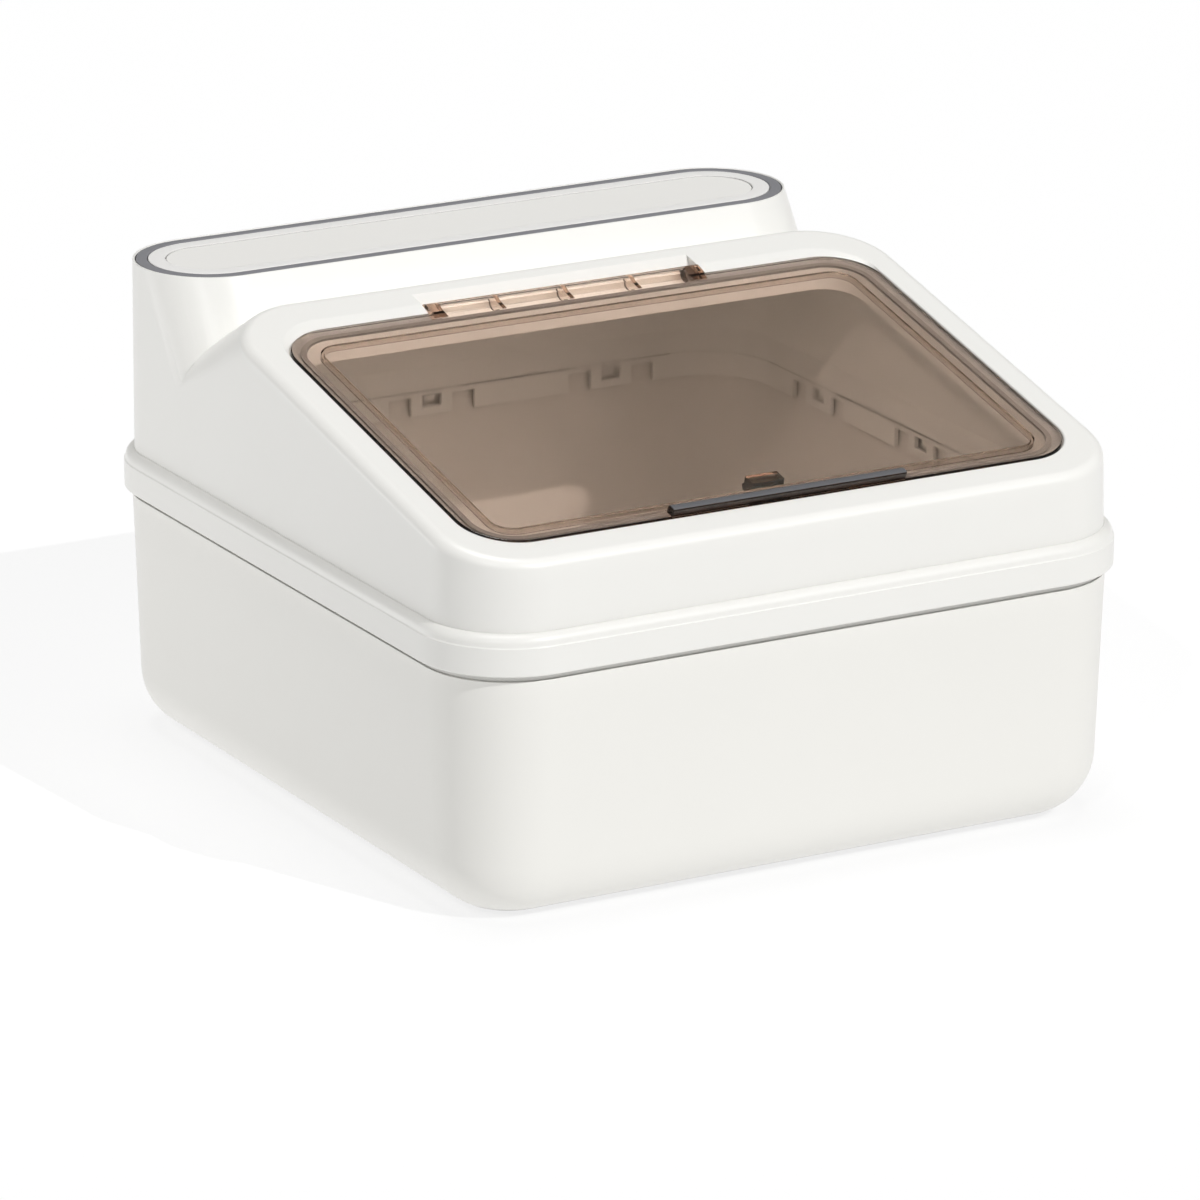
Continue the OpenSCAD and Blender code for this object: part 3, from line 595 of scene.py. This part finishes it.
def brown_clear(name):
    """Clear plastic tinted right through, so that it is darker where light runs along it."""
    m = bpy.data.materials.new(name)
    m.use_nodes = True
    nodes, links = m.node_tree.nodes, m.node_tree.links
    shade = nodes["Principled BSDF"]
    shade.inputs["IOR"].default_value = 1.49
    place = nodes.new("ShaderNodeTexCoord")
    rise = nodes.new("ShaderNodeVectorMath")
    rise.operation = "DOT_PRODUCT"
    rise.inputs[1].default_value = OFF_SLOPE
    links.new(place.outputs["Object"], rise.inputs[0])
    part = nodes.new("ShaderNodeSeparateXYZ")
    links.new(place.outputs["Object"], part.inputs["Vector"])

    def between(value, low, high):
        """1 where the value lies between the limits in millimetres, 0 elsewhere."""
        near = nodes.new("ShaderNodeMath")
        near.operation = "COMPARE"
        near.inputs[1].default_value = (low + high) / 2 * MM
        near.inputs[2].default_value = (high - low) / 2 * MM
        links.new(value, near.inputs[0])
        return near.outputs["Value"]

    def off_face(low, high):
        """1 between two distances off the sloping face."""
        face = OFF_SLOPE.dot(SLOPE_START)
        return between(rise.outputs["Value"], face + low, face + high)

    def combined(kind, first, second):
        """Product or larger of two values."""
        both = nodes.new("ShaderNodeMath")
        both.operation = kind
        links.new(first, both.inputs[0])
        links.new(second, both.inputs[1])
        return both.outputs["Value"]

    lip = combined("MULTIPLY", off_face(0.25, 5), between(part.outputs["Y"], -150, -100))
    top = combined("MULTIPLY", lip, off_face(3.4, 5))
    clip_y = between(part.outputs["Y"], -123.5, -109)
    clip = combined("MULTIPLY", between(part.outputs["X"], -CLIP_X - 0.6, CLIP_X + 0.6), clip_y)
    clip = combined("MULTIPLY", clip, off_face(-10, -LID_T - 0.05))
    grained_and_painted = combined("MAXIMUM", lip, clip)

    # Painted shade and painted reflection: the finger lip is tinted a near black brown, and the clip
    # bluish.
    painted_shade_and_reflection = nodes.new("ShaderNodeMix")
    painted_shade_and_reflection.data_type = "RGBA"
    painted_shade_and_reflection.inputs["A"].default_value = (0.13, 0.10, 0.09, 1)
    painted_shade_and_reflection.inputs["B"].default_value = (0.13, 0.24, 0.34, 1)
    links.new(clip, painted_shade_and_reflection.inputs["Factor"])
    body = nodes.new("ShaderNodeMix")
    body.data_type = "RGBA"
    body.inputs["A"].default_value = (0.99, 0.98, 0.97, 1)
    links.new(painted_shade_and_reflection.outputs["Result"], body.inputs["B"])
    links.new(grained_and_painted, body.inputs["Factor"])
    grip = nodes.new("ShaderNodeMix")
    grip.data_type = "RGBA"
    grip.inputs["B"].default_value = (0.15, 0.155, 0.165, 1)
    links.new(body.outputs["Result"], grip.inputs["A"])
    links.new(top, grip.inputs["Factor"])
    links.new(grip.outputs["Result"], shade.inputs["Base Color"])
    see_through = nodes.new("ShaderNodeMapRange")
    see_through.inputs["To Min"].default_value = 1.0
    see_through.inputs["To Max"].default_value = 0.15
    links.new(top, see_through.inputs["Value"])
    links.new(see_through.outputs["Result"], shade.inputs["Transmission Weight"])

    rub = nodes.new("ShaderNodeTexNoise")
    rub.inputs["Scale"].default_value = 55
    rub.inputs["Detail"].default_value = 6
    links.new(place.outputs["Object"], rub.inputs["Vector"])
    gloss = nodes.new("ShaderNodeMapRange")
    gloss.inputs["From Min"].default_value = 0.35
    gloss.inputs["From Max"].default_value = 0.75
    gloss.inputs["To Min"].default_value = 0.015
    gloss.inputs["To Max"].default_value = 0.05
    links.new(rub.outputs["Fac"], gloss.inputs["Value"])
    frost = nodes.new("ShaderNodeMath")
    frost.operation = "MULTIPLY_ADD"
    frost.inputs[1].default_value = 0.22
    links.new(grained_and_painted, frost.inputs[0])
    links.new(gloss.outputs["Result"], frost.inputs[2])
    links.new(frost.outputs["Value"], shade.inputs["Roughness"])
    wave = nodes.new("ShaderNodeBump")
    wave.inputs["Strength"].default_value = 0.02
    wave.inputs["Distance"].default_value = 0.2 * MM
    links.new(rub.outputs["Fac"], wave.inputs["Height"])
    links.new(wave.outputs["Normal"], shade.inputs["Normal"])

    tint = nodes.new("ShaderNodeVolumeAbsorption")
    tint.inputs["Color"].default_value = (0.5, 0.283, 0.118, 1)
    tint.inputs["Density"].default_value = 180
    clear = nodes.new("ShaderNodeBsdfTransparent")
    ray = nodes.new("ShaderNodeLightPath")
    through = nodes.new("ShaderNodeMixShader")
    links.new(ray.outputs["Is Shadow Ray"], through.inputs["Fac"])
    links.new(shade.outputs["BSDF"], through.inputs[1])
    links.new(clear.outputs["BSDF"], through.inputs[2])
    out = nodes["Material Output"]
    links.new(through.outputs["Shader"], out.inputs["Surface"])
    links.new(tint.outputs["Volume"], out.inputs["Volume"])
    return m


lid.data.materials.append(brown_clear("brown_clear"))
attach(lid, "flip_lid")
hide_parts("flip_lid")

# Drying tray. A deep white tray with slots in its floor, hung by its flange in the mouth of the
# column, under the cap.
refinish("drying_tray", white_plastic("tray_white", (0.82, 0.81, 0.79), 0.48, grain=0.1))

# Column cap. A white push-in cap with a thin bright rim and a sunk middle, located in the tray
# by a rib below its flange.
CAP_Z, CAP_R, PANEL_R, PANEL_SEAT = 189.7, 24.7, 17.7, 1.2
CAP_RIB_IN, CAP_RIB_OUT, CAP_RIB_H, FLANGE_R, FLANGE_T = 20.4, 22.0, 3.5, 29.4, 1.5
cap_rib_z, flange_z = CAP_Z - CAP_RIB_H, CAP_Z + FLANGE_T
cap_levels = [(CAP_RIB_IN, CAP_Z), (CAP_RIB_IN, cap_rib_z), (CAP_RIB_OUT, cap_rib_z), (CAP_RIB_OUT, CAP_Z)]
cap_levels += [(FLANGE_R, CAP_Z), (FLANGE_R, flange_z), (CAP_R, flange_z)]
cap_levels += [(CAP_R, HEIGHT - 0.7), (CAP_R - 0.2, HEIGHT - 0.2), (CAP_R - 0.7, HEIGHT)]
cap_levels += [(PANEL_R + 0.5, HEIGHT), (PANEL_R + 0.12, HEIGHT - 0.15)]
cap_levels += [(PANEL_R, HEIGHT - 0.5), (PANEL_R, HEIGHT - PANEL_SEAT)]
cap = skin("column_cap_moulding", [stadium_level(r, z) for r, z in cap_levels])
smooth_moulding(cap)
cap.data.materials.append(white_plastic("cap_white", (0.86, 0.85, 0.83), 0.38))
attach(cap, "cap")
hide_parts("column_cap")

# Cap seal. A grey silicone ring that lies on the flange round the cap, and closes the gap to the
# mouth of the column. It rides with the cap.
SEAL_IN, SEAL_OUT = CAP_R + 0.2, 29.5
seal_levels = [(SEAL_IN, flange_z), (SEAL_OUT, flange_z), (SEAL_OUT, HEIGHT - 0.7)]
seal_levels += [(SEAL_OUT - 0.2, HEIGHT - 0.2), (SEAL_OUT - 0.7, HEIGHT)]
seal_levels += [(SEAL_IN + 0.5, HEIGHT), (SEAL_IN + 0.1, HEIGHT - 0.3), (SEAL_IN, HEIGHT - 0.7)]
cap_seal = skin("cap_seal_ring", [stadium_level(r, z) for r, z in seal_levels], ring=True)
smooth_moulding(cap_seal)
cap_seal.data.materials.append(silicone("grey_silicone", (0.21, 0.21, 0.225), 0.5))
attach(cap_seal, "cap")
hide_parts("cap_seal")

# Cap panel. A bare white plate let into the sunk middle of the cap, a shade greyer than the cap,
# with a fine gap round it.
PLATE_R, PLATE_Z = 17.4, HEIGHT - 0.4
panel_levels = [(PLATE_R, HEIGHT - PANEL_SEAT), (PLATE_R, PLATE_Z - 0.3)]
panel_levels += [(PLATE_R - 0.2, PLATE_Z - 0.05), (PLATE_R - 0.5, PLATE_Z)]
panel = skin("cap_panel_plate", [stadium_level(r, z) for r, z in panel_levels])
smooth_moulding(panel)
panel.data.materials.append(white_plastic("panel_white", (0.83, 0.82, 0.79), 0.5, grain=0.12))
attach(panel, "cap")
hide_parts("cap_panel")

# Studio. A plain pale floor that glows enough to stay white, a dim surround that is darker where
# the lid mirrors it, a small sharp sun from the right front, a weaker one from the left front, a
# soft one from above, a small lamp on the left, and the camera. Its lengths are in metres.
FLOOR_HALF = 6
floor_mesh = bpy.data.meshes.new("floor")
floor_corners = [(sx * FLOOR_HALF, sy * FLOOR_HALF, 0) for sx, sy in ((-1, -1), (1, -1), (1, 1), (-1, 1))]
floor_mesh.from_pydata(floor_corners, [], [(0, 1, 2, 3)])
floor = bpy.data.objects.new("floor", floor_mesh)
bpy.context.scene.collection.objects.link(floor)
pale = bpy.data.materials.new("pale_floor")
pale.use_nodes = True
pale_shade = pale.node_tree.nodes["Principled BSDF"]
pale_shade.inputs["Base Color"].default_value = (0.22, 0.22, 0.22, 1)
pale_shade.inputs["Roughness"].default_value = 0.9
pale_shade.inputs["Specular IOR Level"].default_value = 0.0
pale_shade.inputs["Emission Color"].default_value = (1, 1, 1, 1)
pale_shade.inputs["Emission Strength"].default_value = 0.77
floor_mesh.materials.append(pale)

surround = bpy.data.worlds.new("surround")
surround.use_nodes = True
nodes, links = surround.node_tree.nodes, surround.node_tree.links
way = nodes.new("ShaderNodeTexCoord")
dark_side = nodes.new("ShaderNodeVectorMath")
dark_side.operation = "DOT_PRODUCT"
dark_side.inputs[1].default_value = (0.466, 0.605, 0.647)
links.new(way.outputs["Generated"], dark_side.inputs[0])
fade = nodes.new("ShaderNodeMapRange")
fade.interpolation_type = "SMOOTHSTEP"
fade.inputs["From Min"].default_value = 0.55
fade.inputs["From Max"].default_value = 0.95
fade.inputs["To Min"].default_value = 0.17
fade.inputs["To Max"].default_value = 0.06
links.new(dark_side.outputs["Value"], fade.inputs["Value"])
nodes["Background"].inputs["Color"].default_value = (1, 1, 1, 1)
links.new(fade.outputs["Result"], nodes["Background"].inputs["Strength"])
bpy.context.scene.world = surround


def lamp(name, kind, power, aim_from, size, at=(0, 0, 0.1)):
    """A lamp some way off in the direction given, turned to the bin. A sun's size is in degrees."""
    data = bpy.data.lights.new(name, kind)
    data.energy = power
    if kind == "SUN":
        data.angle = math.radians(size)
    else:
        data.shape = "SQUARE"
        data.size = size
    item = bpy.data.objects.new(name, data)
    bpy.context.scene.collection.objects.link(item)
    aim = Vector(aim_from)
    item.location = Vector(at) + aim
    item.rotation_mode = "QUATERNION"
    item.rotation_quaternion = aim.to_track_quat("Z", "Y")


lamp("key", "SUN", 1.64, (0.381, -1.0, 0.90), 0.3)
lamp("fill", "SUN", 0.44, (-1.0, -1.0, 1.06), 0.6)
lamp("top", "SUN", 1.5, (0.0, 0.1, 1.0), 30.0)
lamp("side", "AREA", 0.95, (-0.6, 0.4, 0.0), 0.3, (0, 0, 0.04))

FOCAL_PX, PHOTO_PX, SENSOR = 8042.0, 1200, 36
STAND = Vector((-1.487725, -2.628548, 1.038803))
eye = bpy.data.cameras.new("eye")
eye.sensor_width = SENSOR
eye.lens = SENSOR * FOCAL_PX / PHOTO_PX
eye.clip_end = 40
camera = bpy.data.objects.new("eye", eye)
bpy.context.scene.collection.objects.link(camera)
right = Vector((0.871613, -0.490178, 0.003939))
up = Vector((0.1466995, 0.2685049, 0.9520422))
back = right.cross(up).normalized()
up = back.cross(right).normalized()
axes = [(right[i], up[i], back[i], STAND[i]) for i in range(3)]
camera.matrix_world = Matrix((*axes, (0, 0, 0, 1)))
bpy.context.scene.camera = camera
bpy.context.scene.view_settings.view_transform = "Standard"
